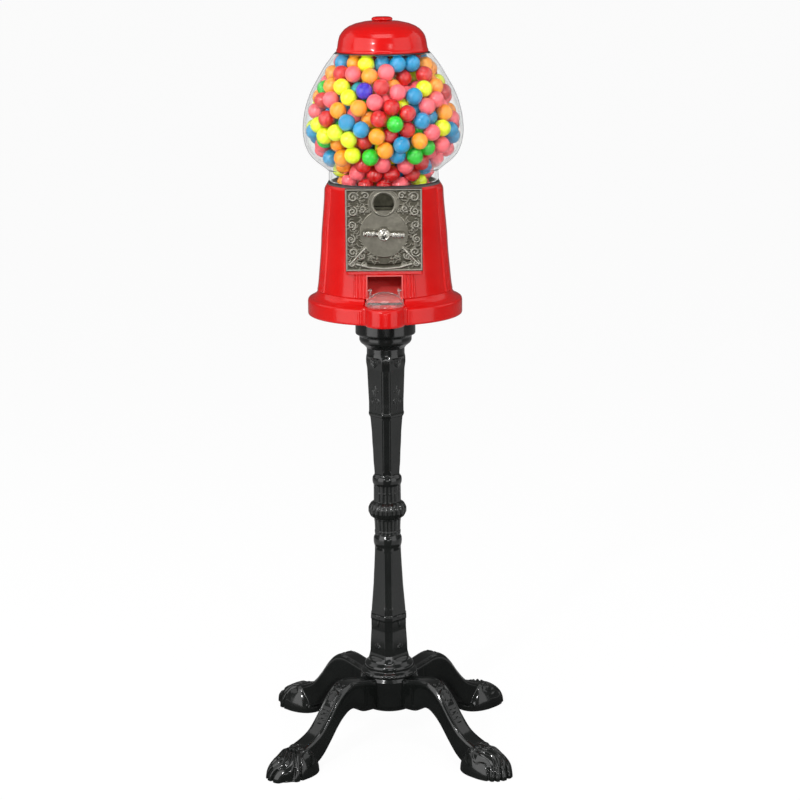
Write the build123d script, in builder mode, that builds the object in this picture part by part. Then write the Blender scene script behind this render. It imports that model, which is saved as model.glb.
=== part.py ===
"""Gumball vending machine on a cast pedestal stand: glass globe, painted cast body, coin mechanism,
column and four claw-foot legs. Millimetres, +Z up, front towards -Y, origin on the floor under the column."""

import os
from math import asin, cos, degrees, radians, sin

from build123d import *

# Heights of the joints between the stacked pieces
HUB_BOTTOM, HUB_TOP = 47.0, 92.0
BEAD_BOTTOM, BEAD_TOP = 302.0, 324.0
COLLAR_BOTTOM, FLANGE_BOTTOM = 526.0, 571.0
FLANGE_TOP, BODY_TOP = 602.0, 735.0
GLOBE_BOTTOM, GLOBE_TOP = 739.0, 896.0
LID_BOTTOM, TOTAL_HEIGHT = 897.0, 940.0

# Stand
HUB_RADIUS = 38.0
HUB_FLAT = 35.0            # distance from the axis to each leg's seat
COLUMN_BORE = 11.0
TIE_ROD_RADIUS = 5.0
LEG_WIDTH = 25.0
FOOT_CENTRE, FOOT_RADIUS = 186.5, 25.0
LEG_ANGLES = {"front_left": 225, "front_right": 315, "back_left": 135, "back_right": 45}
LEG_BOLT_HEIGHTS = (63.0, 77.0)
LEG_BOLT_RADIUS = 2.5

# Head
FLANGE_RADIUS = 97.5
NOSE_HALF_WIDTH, NOSE_CENTRE_Y, NOSE_TOP = 24.0, -94.0, 594.0
FLOOR_THICKNESS = 5.0
WALL = 3.5
GLASS = 2.5
ROD_RADIUS = 4.0
RUNNING_GAP = 0.06
HEAD_BOLT_CIRCLE = 27.0
BODY_SCREW_CIRCLE = 72.0

# Coin mechanism
KNOB_Z = 683.0
PLATE_HALF_WIDTH, PLATE_BOTTOM, PLATE_TOP = 47.0, 636.5, 737.5
PLATE_FRONT, PLATE_BACK = -84.0, -80.0
WINDOW_Z, WINDOW_RADIUS = 719.0, 12.5
SHAFT_RADIUS, SHAFT_TAIL_RADIUS = 5.0, 3.5
COIN_WHEEL_RADIUS = 44.5
COIN_SEAT = 31.7           # distance from the knob's axis to the flat that the coin stands on
MECH_SCREWS = [(x, z) for x in (-38.0, 38.0) for z in (645.0, 726.0)]
PAWL_PIVOT_X, PAWL_PIVOT_Z, PAWL_PIN_RADIUS = 22.0, 700.0, 2.0
KNOB_TILT = 3.0

# Gumball wheel and its drive: an 8-tooth pinion turns a 48-tooth crown ring of module 2
MODULE = 2.0
PINION_TEETH, CROWN_TEETH = 8, 48
PINION_PITCH_RADIUS = MODULE * PINION_TEETH / 2
WHEEL_BOTTOM, WHEEL_TOP, WHEEL_RADIUS = 693.0, 706.0, 51.6
POCKETS, POCKET_RADIUS, POCKET_CIRCLE = 6, 11.5, 30.0

# Chute and flap
CHUTE_HALF_WIDTH, CHUTE_WALL = 21.0, 1.5
FLAP_HINGE_Y, FLAP_HINGE_Z, FLAP_PIN_RADIUS = -78.0, 612.0, 1.0
FLAP_CENTRE_Y, FLAP_BOTTOM, FLAP_TOP, FLAP_RADIUS = -84.2, 594.6, 611.2, 24.0

UP = (Align.CENTER, Align.CENTER, Align.MIN)


def outline(points, plane=Plane.XZ):
    """A closed polygon, as radius and height on the XZ plane or as another plane's two directions."""
    with BuildSketch(plane) as face:
        with BuildLine():
            Polyline(*points, close=True)
        make_face()
    return face.sketch


def shell_outline(outer, inner):
    """The section of a smooth wall between an outer and an inner curve, both from the bottom up."""
    with BuildSketch(Plane.XZ) as face:
        with BuildLine():
            Spline(*outer)
            Line(outer[-1], inner[-1])
            Spline(*inner[::-1])
            Line(inner[0], outer[0])
        make_face()
    return face.sketch


def post(radius, low, high, x=0.0, y=0.0, mode=Mode.ADD):
    """An upright cylinder."""
    with Locations((x, y, low)):
        Cylinder(radius, high - low, align=UP, mode=mode)


def barrel(radius, front, back, x=0.0, z=KNOB_Z, mode=Mode.ADD):
    """A cylinder along Y."""
    with Locations(Location((x, back, z), (90, 0, 0))):
        Cylinder(radius, back - front, align=UP, mode=mode)


def crossbar(radius, left, right, y, z, mode=Mode.ADD):
    """A cylinder along X."""
    with Locations(Location((left, y, z), (0, 90, 0))):
        Cylinder(radius, right - left, align=UP, mode=mode)


def block(x, y, z, mode=Mode.ADD):
    """A box from its (low, high) pairs."""
    with Locations(((x[0] + x[1]) / 2, (y[0] + y[1]) / 2, (z[0] + z[1]) / 2)):
        Box(x[1] - x[0], y[1] - y[0], z[1] - z[0], mode=mode)


def hexagon(across_flats, height, x=0.0, y=0.0):
    """The outline of an upright hexagonal nut or bolt head."""
    with BuildSketch(Plane.XY.offset(height)) as face:
        with Locations((x, y)):
            RegularPolygon(across_flats / 2, 6, major_radius=False)
    return face.sketch


def radial_circle(radius, angle, start, height):
    """A circle that faces away from the column, for a bolt or hole along a radius."""
    away = (cos(radians(angle)), sin(radians(angle)), 0)
    with BuildSketch(Plane(origin=(start * away[0], start * away[1], height), z_dir=away)) as face:
        Circle(radius)
    return face.sketch


def on_circle(radius, angle):
    return radius * cos(radians(angle)), radius * sin(radians(angle))


# ---------------------------------------------------------------- stand
with BuildPart() as base_hub:
    revolve(outline([(0, HUB_BOTTOM), (30, HUB_BOTTOM), (36, 51), (HUB_RADIUS, 56),
                     (HUB_RADIUS, 88), (36, HUB_TOP), (0, HUB_TOP)]), axis=Axis.Z)
    post(24, HUB_BOTTOM, HUB_TOP - 10, mode=Mode.SUBTRACT)
    post(TIE_ROD_RADIUS + 0.5, HUB_BOTTOM, HUB_TOP, mode=Mode.SUBTRACT)
    for leg_angle in LEG_ANGLES.values():
        x, y = on_circle(HUB_FLAT + 5, leg_angle)
        with Locations(Location((x, y, 70), (0, 0, leg_angle))):
            Box(10, LEG_WIDTH + 0.4, 60, mode=Mode.SUBTRACT)
        for bolt_z in LEG_BOLT_HEIGHTS:
            extrude(radial_circle(LEG_BOLT_RADIUS + 0.3, leg_angle, 20, bolt_z), amount=20,
                    mode=Mode.SUBTRACT)

# Side view of a leg without its foot: distance from the axis, height
LEG_TOP_EDGE = [(HUB_FLAT, 91), (52, 94.5), (70, 98), (82, 97.5), (93, 93), (106, 81), (120, 63), (134, 48),
                (148, 40), (162, 37)]
LEG_UNDER_EDGE = [(162, 6), (146, 8), (132, 17), (118, 33), (104, 50), (92, 60), (80, 64), (68, 60), (56, 53),
                  (HUB_FLAT, 51)]

legs = {}
for leg_name, leg_angle in LEG_ANGLES.items():
    away = (cos(radians(leg_angle)), sin(radians(leg_angle)), 0)
    with BuildPart() as leg:
        side = Plane(origin=(0, 0, 0), x_dir=away, z_dir=(away[1], -away[0], 0))
        with BuildSketch(side) as leg_side:
            with BuildLine():
                Spline(*LEG_TOP_EDGE)
                Line(LEG_TOP_EDGE[-1], LEG_UNDER_EDGE[0])
                Spline(*LEG_UNDER_EDGE)
                Line(LEG_UNDER_EDGE[-1], LEG_TOP_EDGE[0])
            make_face()
        extrude(leg_side.sketch, amount=LEG_WIDTH / 2, both=True)
        with BuildSketch(Plane.XY) as sole:
            with Locations(on_circle(FOOT_CENTRE, leg_angle)):
                Circle(FOOT_RADIUS)
            with Locations(on_circle(150, leg_angle)):
                Circle(12)
            make_hull()
        extrude(sole.sketch, amount=32, taper=10)
        for bolt_z in LEG_BOLT_HEIGHTS:
            extrude(radial_circle(LEG_BOLT_RADIUS, leg_angle, HUB_FLAT - 1, bolt_z), amount=15,
                    mode=Mode.SUBTRACT)
    legs["leg_" + leg_name] = leg

with BuildPart() as leg_bolts:
    for leg_angle in LEG_ANGLES.values():
        for bolt_z in LEG_BOLT_HEIGHTS:
            extrude(radial_circle(LEG_BOLT_RADIUS, leg_angle, 19, bolt_z), amount=28)
            extrude(radial_circle(4.5, leg_angle, 18.5, bolt_z), amount=4)

COLUMN_FOOT = [(36, 92), (36.5, 97), (32, 100), (31.8, 106), (27, 110), (24.6, 120), (24.3, 130), (23.6, 142),
               (22.9, 152), (22.9, 167), (22.2, 180), (20.9, 195), (19.5, 212), (18.9, 224), (18.2, 236),
               (17.5, 250), (16.9, 264), (18.1, 268), (18.1, 276), (16.2, 280), (16.8, 296), (17.6, 302)]
with BuildPart() as lower_column:
    revolve(outline([(COLUMN_BORE, 92), *COLUMN_FOOT, (COLUMN_BORE, 302)]), axis=Axis.Z)

with BuildPart() as bead_ring:
    revolve(outline([(COLUMN_BORE, BEAD_BOTTOM), (18, BEAD_BOTTOM), (22.2, 305), (24.6, 310), (24.6, 316),
                     (22.2, 321), (18, BEAD_TOP), (COLUMN_BORE, BEAD_TOP)]), axis=Axis.Z)

COLUMN_HEAD = [(17.6, 324), (17.4, 346), (18.7, 349), (18.7, 356), (16.1, 360), (16.7, 369), (17.4, 377),
               (18, 393), (18.6, 401), (19.2, 417), (20.5, 432), (21.1, 438), (22.4, 441), (22.4, 456),
               (23, 470), (23.6, 485), (24.2, 500), (25.4, 508), (25.4, 513), (24.1, 518), (24.1, 526)]
with BuildPart() as upper_column:
    revolve(outline([(COLUMN_BORE, BEAD_TOP), *COLUMN_HEAD, (COLUMN_BORE, COLLAR_BOTTOM)]), axis=Axis.Z)

with BuildPart() as top_collar:
    revolve(outline([(0, COLLAR_BOTTOM), (24.6, COLLAR_BOTTOM), (26.7, 529), (31.8, 533), (33.3, 536),
                     (33.3, 542),
                     (38.1, 544), (38.1, FLANGE_BOTTOM), (0, FLANGE_BOTTOM)]), axis=Axis.Z)
    post(17, 556, FLANGE_BOTTOM, mode=Mode.SUBTRACT)
    post(TIE_ROD_RADIUS + 0.5, COLLAR_BOTTOM, FLANGE_BOTTOM, mode=Mode.SUBTRACT)
    for bolt_angle in (45, 135, 225, 315):
        post(3, 548, FLANGE_BOTTOM, *on_circle(HEAD_BOLT_CIRCLE, bolt_angle), mode=Mode.SUBTRACT)

with BuildPart() as tie_rod:
    post(TIE_ROD_RADIUS, 66, 568)

with BuildPart() as tie_rod_washers:
    for low in (80.0, 556.0):
        post(11, low, low + 2)
        post(TIE_ROD_RADIUS, low, low + 2, mode=Mode.SUBTRACT)

with BuildPart() as tie_rod_nuts:
    for low in (72.0, 558.0):
        extrude(hexagon(17, low), amount=8)
        post(TIE_ROD_RADIUS, low, low + 8, mode=Mode.SUBTRACT)

with BuildPart() as head_bolts:
    for bolt_angle in (45, 135, 225, 315):
        x, y = on_circle(HEAD_BOLT_CIRCLE, bolt_angle)
        post(3, 552, 577, x, y)
        extrude(hexagon(10, FLANGE_BOTTOM + FLOOR_THICKNESS, x, y), amount=4)

# ---------------------------------------------------------------- machine base and body
with BuildPart() as base_flange:
    revolve(outline([(0, FLANGE_BOTTOM), (96.5, FLANGE_BOTTOM), (FLANGE_RADIUS, 573), (FLANGE_RADIUS, 579),
                     (96.8, 584), (94.6, 593), (91, 597.5), (86.5, 600.5), (84.5, FLANGE_TOP),
                     (0, FLANGE_TOP)]),
            axis=Axis.Z)
    post(78, FLANGE_BOTTOM + FLOOR_THICKNESS, FLANGE_TOP, mode=Mode.SUBTRACT)
    with BuildSketch(Plane.XY.offset(FLANGE_BOTTOM)) as nose:
        with Locations((0, NOSE_CENTRE_Y)):
            Circle(NOSE_HALF_WIDTH)
        with Locations((0, NOSE_CENTRE_Y + 8)):
            Rectangle(2 * NOSE_HALF_WIDTH, 16)
    extrude(nose.sketch, amount=NOSE_TOP - FLANGE_BOTTOM)
    post(FLAP_RADIUS + 1, NOSE_TOP, FLANGE_TOP, 0, FLAP_CENTRE_Y, mode=Mode.SUBTRACT)
    block((-22.6, 22.6), (-92, -60), (NOSE_TOP, FLANGE_TOP), mode=Mode.SUBTRACT)
    post(14, NOSE_TOP - 5, NOSE_TOP, 0, NOSE_CENTRE_Y, mode=Mode.SUBTRACT)
    post(9, FLANGE_BOTTOM, 596)
    post(ROD_RADIUS, FLANGE_BOTTOM + 2, 596, mode=Mode.SUBTRACT)
    for screw_angle in (45, 135, 225, 315):
        x, y = on_circle(BODY_SCREW_CIRCLE, screw_angle)
        post(6.5, FLANGE_BOTTOM, FLANGE_TOP, x, y)
        post(2.2, FLANGE_BOTTOM, FLANGE_TOP, x, y, mode=Mode.SUBTRACT)
        post(4.5, FLANGE_BOTTOM, FLANGE_BOTTOM + 3, x, y, mode=Mode.SUBTRACT)
        x, y = on_circle(HEAD_BOLT_CIRCLE, screw_angle)
        post(3.2, FLANGE_BOTTOM, FLANGE_BOTTOM + FLOOR_THICKNESS, x, y, mode=Mode.SUBTRACT)

BODY_SIDE = [(83.5, 602), (82.2, 610), (80.7, 625), (79.3, 640), (78, 656), (77.2, 671), (75.9, 686),
             (74.5, 701), (73.2, 716), (72.4, 731), (71.2, BODY_TOP)]
PAD_HEIGHT, PAD_ARC = 1.8, 51.0

with BuildPart() as body_shell:
    revolve(outline([(0, FLANGE_TOP), *BODY_SIDE, (0, BODY_TOP)]), axis=Axis.Z)
    block((-PLATE_HALF_WIDTH, PLATE_HALF_WIDTH), (PLATE_BACK, 0), (632, BODY_TOP))
    pad = outline([(60, FLANGE_TOP), *[(r + PAD_HEIGHT, z) for r, z in BODY_SIDE[:-1]],
                   (BODY_SIDE[-1][0], BODY_TOP), (60, BODY_TOP)])
    for pad_angle in (0, 90, 180):
        with Locations(Location((0, 0, 0), (0, 0, pad_angle - PAD_ARC / 2))):
            add(revolve(pad, axis=Axis.Z, revolution_arc=PAD_ARC, mode=Mode.PRIVATE))
    low_pad = outline([(60, FLANGE_TOP), *[(r + PAD_HEIGHT, z) for r, z in BODY_SIDE[:3]],
                       (79.9 + PAD_HEIGHT, 633),
                       (60, 633)])
    with Locations(Location((0, 0, 0), (0, 0, 270 - 28))):
        add(revolve(low_pad, axis=Axis.Z, revolution_arc=56, mode=Mode.PRIVATE))
    inside = [(0, FLANGE_TOP)] + [(r - WALL, z) for r, z in BODY_SIDE[:-2]] + [(68.5, 729), (0, 729)]
    revolve(outline(inside), axis=Axis.Z, mode=Mode.SUBTRACT)
    post(66, 725, BODY_TOP, mode=Mode.SUBTRACT)
    block((-PLATE_HALF_WIDTH + 1.5, PLATE_HALF_WIDTH - 1.5), (PLATE_BACK, -45), (PLATE_BOTTOM, 732),
          mode=Mode.SUBTRACT)
    block((-CHUTE_HALF_WIDTH - 1.6, CHUTE_HALF_WIDTH + 1.6), (-100, -60), (FLANGE_TOP, 631.6),
          mode=Mode.SUBTRACT)
    for side in (-1, 1):
        crossbar(FLAP_PIN_RADIUS, side * 24 - 3, side * 24 + 3, FLAP_HINGE_Y, FLAP_HINGE_Z,
                 mode=Mode.SUBTRACT)
    for screw_angle in (45, 135, 225, 315):
        x, y = on_circle(BODY_SCREW_CIRCLE, screw_angle)
        with BuildSketch(Plane.XY.offset(FLANGE_TOP)) as boss:
            with Locations((x, y)):
                Circle(6.5)
        extrude(boss.sketch, amount=22)
        post(2, FLANGE_TOP, 618, x, y, mode=Mode.SUBTRACT)

with BuildPart() as body_screws:
    for screw_angle in (45, 135, 225, 315):
        x, y = on_circle(BODY_SCREW_CIRCLE, screw_angle)
        post(2, FLANGE_BOTTOM + 1, 616, x, y)
        post(4, FLANGE_BOTTOM + 0.5, FLANGE_BOTTOM + 3, x, y)

with BuildPart() as coin_tray:
    revolve(outline([(14, 577), (64, 577), (64, 590), (62.5, 590), (62.5, 578.5), (15.5, 578.5), (15.5, 590),
                     (14, 590)]), axis=Axis.Z)
    for bolt_angle in (45, 135, 225, 315):
        post(7, 570, 600, *on_circle(HEAD_BOLT_CIRCLE, bolt_angle), mode=Mode.SUBTRACT)

with BuildPart() as center_rod:
    post(ROD_RADIUS, FLANGE_BOTTOM + 2, 936)

with BuildPart() as rod_washer:
    post(9, 596, 598)
    post(ROD_RADIUS, 596, 598, mode=Mode.SUBTRACT)

with BuildPart() as rod_nut:
    extrude(hexagon(13, 598), amount=6)
    post(ROD_RADIUS, 598, 604, mode=Mode.SUBTRACT)

# ---------------------------------------------------------------- chute and flap
with BuildPart() as chute:
    extrude(outline([(-43.9, 685.4), (-43.9, 639.5), (-66, 632), (-80.5, 631.2), (-80.5, 597.3),
                     (-16.3, 620.5),
                     (-16.3, 685.4)], Plane.YZ), amount=CHUTE_HALF_WIDTH + CHUTE_WALL, both=True)
    extrude(outline([(-42.4, 690), (-42.4, 638), (-66, 630.4), (-81, 629.7), (-81, 598.8), (-17.8, 622),
                     (-17.8, 690)], Plane.YZ), amount=CHUTE_HALF_WIDTH, both=True, mode=Mode.SUBTRACT)
    for side in (-1, 1):
        crossbar(FLAP_PIN_RADIUS, side * 24 - 4, side * 24 + 4, FLAP_HINGE_Y, FLAP_HINGE_Z,
                 mode=Mode.SUBTRACT)


def dome_outline(radius, top):
    """A quarter ellipse from the flap's rim to its top, as distance from the dome's own axis and height."""
    steps = 16
    curve = [(radius * cos(radians(90 * k / steps)),
              FLAP_BOTTOM + (top - FLAP_BOTTOM) * sin(radians(90 * k / steps)))
             for k in range(steps + 1)]
    with BuildSketch(Plane.XZ) as face:
        with BuildLine():
            Spline(*curve)
            Polyline(curve[-1], (0, FLAP_BOTTOM), curve[0])
        make_face()
    return face.sketch


with BuildPart() as flap:
    dome = revolve(dome_outline(FLAP_RADIUS, FLAP_TOP), axis=Axis.Z, mode=Mode.PRIVATE)
    hollow = revolve(dome_outline(FLAP_RADIUS - 1.5, FLAP_TOP - 1.5), axis=Axis.Z, mode=Mode.PRIVATE)
    with Locations((0, FLAP_CENTRE_Y, 0)):
        add(dome)
    for side in (-1, 1):
        block((side * 17.5 - 1.5, side * 17.5 + 1.5), (-86, -76.2), (604, 614))
    with Locations((0, FLAP_CENTRE_Y, 0)):
        add(hollow, mode=Mode.SUBTRACT)
    block((-30, 30), (FLAP_CENTRE_Y, -60), (580, 604), mode=Mode.SUBTRACT)
    block((-16, 16), (FLAP_CENTRE_Y, -60), (590, 620), mode=Mode.SUBTRACT)
    for side in (-1, 1):
        block((side * 24.5 - 5.5, side * 24.5 + 5.5), (FLAP_CENTRE_Y, -60), (590, 620), mode=Mode.SUBTRACT)
    crossbar(FLAP_PIN_RADIUS + RUNNING_GAP, -30, 30, FLAP_HINGE_Y, FLAP_HINGE_Z, mode=Mode.SUBTRACT)

with BuildPart() as flap_pins:
    for side in (-1, 1):
        crossbar(FLAP_PIN_RADIUS, side * 20.5 - 5, side * 20.5 + 5, FLAP_HINGE_Y, FLAP_HINGE_Z)

# ---------------------------------------------------------------- coin mechanism
with BuildPart() as face_plate:
    block((-PLATE_HALF_WIDTH, PLATE_HALF_WIDTH), (PLATE_FRONT, PLATE_BACK), (PLATE_BOTTOM, PLATE_TOP))
    for x, z in MECH_SCREWS:
        barrel(4, PLATE_BACK - 1, -70, x, z)
        barrel(2, PLATE_BACK + 2, -70, x, z, mode=Mode.SUBTRACT)
    barrel(WINDOW_RADIUS, PLATE_FRONT, PLATE_BACK, 0, WINDOW_Z, mode=Mode.SUBTRACT)
    barrel(SHAFT_RADIUS + RUNNING_GAP, PLATE_FRONT, PLATE_BACK, mode=Mode.SUBTRACT)

with BuildPart() as mech_back_plate:
    block((-43, 43), (-70, -67.5), (641, 730))
    barrel(SHAFT_RADIUS + RUNNING_GAP, -70, -67.5, mode=Mode.SUBTRACT)
    barrel(PAWL_PIN_RADIUS, -70, -67.5, PAWL_PIVOT_X, PAWL_PIVOT_Z, mode=Mode.SUBTRACT)
    for x, z in MECH_SCREWS:
        barrel(2.2, -70, -67.5, x, z, mode=Mode.SUBTRACT)

with BuildPart() as mech_screws:
    for x, z in MECH_SCREWS:
        barrel(2, -77, -67, x, z)
        barrel(3.6, -67.5, -65, x, z)

with BuildPart() as knob_handle:
    barrel(7.7, -97, PLATE_FRONT - 0.4)
    with BuildSketch(Plane.XZ.offset(86)) as bar:
        with Locations(Location((0, KNOB_Z, 0), (0, 0, -KNOB_TILT))):
            Rectangle(50, 4.6)
            with Locations(*[(side * x, 0) for side in (-1, 1) for x in (12.5, 18.5, 24.5)]):
                Circle(3.2)
    extrude(bar.sketch, amount=9)
    barrel(SHAFT_RADIUS, -91, PLATE_FRONT, mode=Mode.SUBTRACT)

with BuildPart() as knob_shaft:
    barrel(SHAFT_RADIUS, -91, -60)
    barrel(SHAFT_TAIL_RADIUS, -61, -44.3)

with BuildPart() as coin_wheel:
    barrel(COIN_WHEEL_RADIUS, -77.6, -75.3)
    barrel(SHAFT_RADIUS, -77.6, -75.3, mode=Mode.SUBTRACT)
    block((-12, 12), (-80, -70), (KNOB_Z + COIN_SEAT, KNOB_Z + 60), mode=Mode.SUBTRACT)


def polar(radius, angle, height=KNOB_Z):
    x, z = on_circle(radius, angle)
    return x, height + z


RATCHET_TEETH = 12
ratchet_points = []
for k in range(RATCHET_TEETH):
    ratchet_points += [polar(11.2, k * 360 / RATCHET_TEETH), polar(14, k * 360 / RATCHET_TEETH + 2)]
with BuildPart() as ratchet_wheel:
    extrude(outline(ratchet_points, Plane.XZ.offset(71.4)), amount=3.2)
    barrel(SHAFT_RADIUS, -75, -71, mode=Mode.SUBTRACT)

with BuildPart() as pawl:
    extrude(outline([(24, 704.6), (18, 704.6), (3, 702.4), (3.2, 697.4), (6, 698.4), (18, 696), (24, 695.4),
                     (26.6, 700)], Plane.XZ.offset(71.6)), amount=2.8)
    barrel(PAWL_PIN_RADIUS + RUNNING_GAP, -80, -70, PAWL_PIVOT_X, PAWL_PIVOT_Z, mode=Mode.SUBTRACT)

with BuildPart() as pawl_pin:
    barrel(PAWL_PIN_RADIUS, -74.9, -67.5, PAWL_PIVOT_X, PAWL_PIVOT_Z)

with BuildPart() as shaft_nut:
    barrel(8, -66.8, -62.8)
    barrel(SHAFT_RADIUS, -67, -62, mode=Mode.SUBTRACT)

pinion_points = []
for k in range(PINION_TEETH):
    centre = 90 + k * 360 / PINION_TEETH
    for radius, half_width in ((5.9, -1.5), (PINION_PITCH_RADIUS, -1.05), (9.6, -0.5),
                               (9.6, 0.5), (PINION_PITCH_RADIUS, 1.05), (5.9, 1.5)):
        pinion_points.append(polar(radius, centre + degrees(asin(half_width / radius))))
with BuildPart() as pinion:
    extrude(outline(pinion_points, Plane.XZ.offset(44.9)), amount=7.1)
    barrel(SHAFT_TAIL_RADIUS, -53, -44, mode=Mode.SUBTRACT)

# ---------------------------------------------------------------- gumball wheel and hopper
with BuildPart() as gumball_wheel:
    post(44.5, WHEEL_BOTTOM, WHEEL_TOP)
    post(WHEEL_RADIUS, WHEEL_BOTTOM + 2.2, WHEEL_TOP)
    post(ROD_RADIUS + RUNNING_GAP, WHEEL_BOTTOM, WHEEL_TOP, mode=Mode.SUBTRACT)
    for k in range(POCKETS):
        post(POCKET_RADIUS, WHEEL_BOTTOM, WHEEL_TOP, *on_circle(POCKET_CIRCLE, 270 + k * 360 / POCKETS),
             mode=Mode.SUBTRACT)

with BuildPart() as crown_ring:
    post(WHEEL_RADIUS, WHEEL_BOTTOM, WHEEL_BOTTOM + 2.2)
    post(44.5, WHEEL_BOTTOM, WHEEL_BOTTOM + 2.2, mode=Mode.SUBTRACT)
    tooth = extrude(outline([(-1.3, WHEEL_BOTTOM + 1), (-1.3, WHEEL_BOTTOM), (-0.7, WHEEL_BOTTOM - 3.6),
                             (0.7, WHEEL_BOTTOM - 3.6), (1.3, WHEEL_BOTTOM), (1.3, WHEEL_BOTTOM + 1)],
                            Plane.XZ.offset(45.2)), amount=6, mode=Mode.PRIVATE)
    with PolarLocations(0, CROWN_TEETH, start_angle=180 / CROWN_TEETH):
        add(tooth)

with BuildPart() as hopper:
    revolve(outline([(6, 689.5), (41.8, 689.5), (41.8, 685.5), (55, 685.5), (55, 711), (65.6, BODY_TOP),
                     (70, BODY_TOP),
                     (70, BODY_TOP + 2), (64, BODY_TOP + 2), (52.4, 712), (52.4, 687.5), (43.6, 687.5),
                     (43.6, 692.4), (6, 692.4)]), axis=Axis.Z)
    post(12, 680, 700, 0, -POCKET_CIRCLE, mode=Mode.SUBTRACT)
    block((-13, 13), (-60, -44.2), (680, WHEEL_BOTTOM + 1), mode=Mode.SUBTRACT)

with BuildPart() as drop_shield:
    post(52.4, 707, 709)
    post(12, 707, 709, mode=Mode.SUBTRACT)
    for x, y in (((-60, -13.5), (-60, 60)), ((13.5, 60), (-60, 60)), ((-20, 20), (0, 60))):
        block(x, y, (700, 720), mode=Mode.SUBTRACT)

# ---------------------------------------------------------------- globe, gumballs and lid
GLOBE_SIDE = [(67.4, 748), (68.4, 751), (71.7, 754), (76.1, 757.7), (85.4, 765), (92.2, 772.6), (95.9, 780),
              (98.3, 787.6), (100, 802), (98, 821), (94.2, 836), (88.5, 850.5), (80.4, 865), (71.6, 880),
              (62.5, 892), (59.4, GLOBE_TOP)]
globe_inside = [(65.2, GLOBE_BOTTOM)] + [(64.9, 748), (66, 751.6), (69.6, 755.2)] + [
    (r - GLASS, z + (1.4 if z < 790 else -0.6)) for r, z in GLOBE_SIDE[3:-1]] + [(56.4, GLOBE_TOP)]
with BuildPart() as globe:
    with BuildSketch(Plane.XZ) as globe_wall:
        with BuildLine():
            Polyline((68.5, GLOBE_BOTTOM), (68.5, 746.5), GLOBE_SIDE[0])
            Spline(*GLOBE_SIDE)
            Line(GLOBE_SIDE[-1], globe_inside[-1])
            Spline(*globe_inside[:0:-1])
            Polyline(globe_inside[1], globe_inside[0], (68.5, GLOBE_BOTTOM))
        make_face()
    revolve(globe_wall.sketch, axis=Axis.Z)

with BuildPart() as globe_gasket:
    post(69, BODY_TOP + 2, GLOBE_BOTTOM)
    post(64, BODY_TOP + 2, GLOBE_BOTTOM, mode=Mode.SUBTRACT)

with BuildPart() as lid_gasket:
    post(58.6, GLOBE_TOP, LID_BOTTOM - 0.1)
    post(54, GLOBE_TOP, LID_BOTTOM - 0.1, mode=Mode.SUBTRACT)

HEAP_CLEARANCE = 1.2
with BuildPart() as gumballs:
    heap = [(r - HEAP_CLEARANCE, z) for r, z in globe_inside[2:-1] if z < 889]
    revolve(outline([(5.5, 711), (48, 711), (62, 741), (63, 748), *heap, (57, 890), (5.5, 890)]), axis=Axis.Z)
    block((-15, 15), (-52, -40), (705, 715), mode=Mode.SUBTRACT)

LID_SIDE = [(56.7, LID_BOTTOM), (56.2, 900), (55.4, 904), (54.6, 910), (52.9, 916.5), (50.3, 920.6),
            (46.6, 924.8),
            (41, 928.6), (33, 931.8), (21, 934.4), (13, 935), (6.4, 935)]
with BuildPart() as lid:
    inner_lid = [(54.2, LID_BOTTOM), (53.7, 900), (52.9, 904), (52.1, 909.4), (50.3, 915.3), (47.9, 919),
                 (44.6, 922.6),
                 (39.6, 926.2), (32.2, 929.3), (20.7, 931.8), (13, 932.4), (6.4, 932.4)]
    revolve(shell_outline(LID_SIDE, inner_lid), axis=Axis.Z)

with BuildPart() as lid_nut:
    revolve(outline([(0, 926), (5.8, 926), (5.8, 935.4), (13, 935.4), (13, 937.6), (11.4, 939.2),
                     (8, TOTAL_HEIGHT),
                     (0, TOTAL_HEIGHT)]), axis=Axis.Z)
    post(ROD_RADIUS + RUNNING_GAP, 926, 937, mode=Mode.SUBTRACT)

# ---------------------------------------------------------------- export
os.makedirs("parts", exist_ok=True)
NODES = {"base_hub": base_hub, **legs, "leg_bolts": leg_bolts, "lower_column": lower_column,
         "bead_ring": bead_ring, "upper_column": upper_column, "top_collar": top_collar, "tie_rod": tie_rod,
         "tie_rod_washers": tie_rod_washers, "tie_rod_nuts": tie_rod_nuts, "head_bolts": head_bolts,
         "base_flange": base_flange, "body_shell": body_shell, "body_screws": body_screws,
         "coin_tray": coin_tray, "center_rod": center_rod, "rod_washer": rod_washer, "rod_nut": rod_nut,
         "chute": chute, "flap": flap, "flap_pins": flap_pins, "face_plate": face_plate,
         "mech_back_plate": mech_back_plate, "mech_screws": mech_screws, "knob_handle": knob_handle,
         "knob_shaft": knob_shaft, "coin_wheel": coin_wheel, "ratchet_wheel": ratchet_wheel, "pawl": pawl,
         "pawl_pin": pawl_pin, "shaft_nut": shaft_nut, "pinion": pinion, "gumball_wheel": gumball_wheel,
         "crown_ring": crown_ring, "hopper": hopper, "drop_shield": drop_shield, "globe": globe,
         "globe_gasket": globe_gasket,
         "lid_gasket": lid_gasket, "gumballs": gumballs, "lid": lid, "lid_nut": lid_nut}
for label, node in NODES.items():
    node.part.label = label
    export_step(node.part, f"parts/{label}.step")
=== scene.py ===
"""Looks of the gumball machine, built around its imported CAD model. Lengths in the code are millimetres,
turned into metres where a mesh is made. +Z up, front towards -Y, origin on the floor under the column."""
import math
import random

import bmesh
import bpy
import numpy as np
from mathutils import Matrix, Vector


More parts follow.
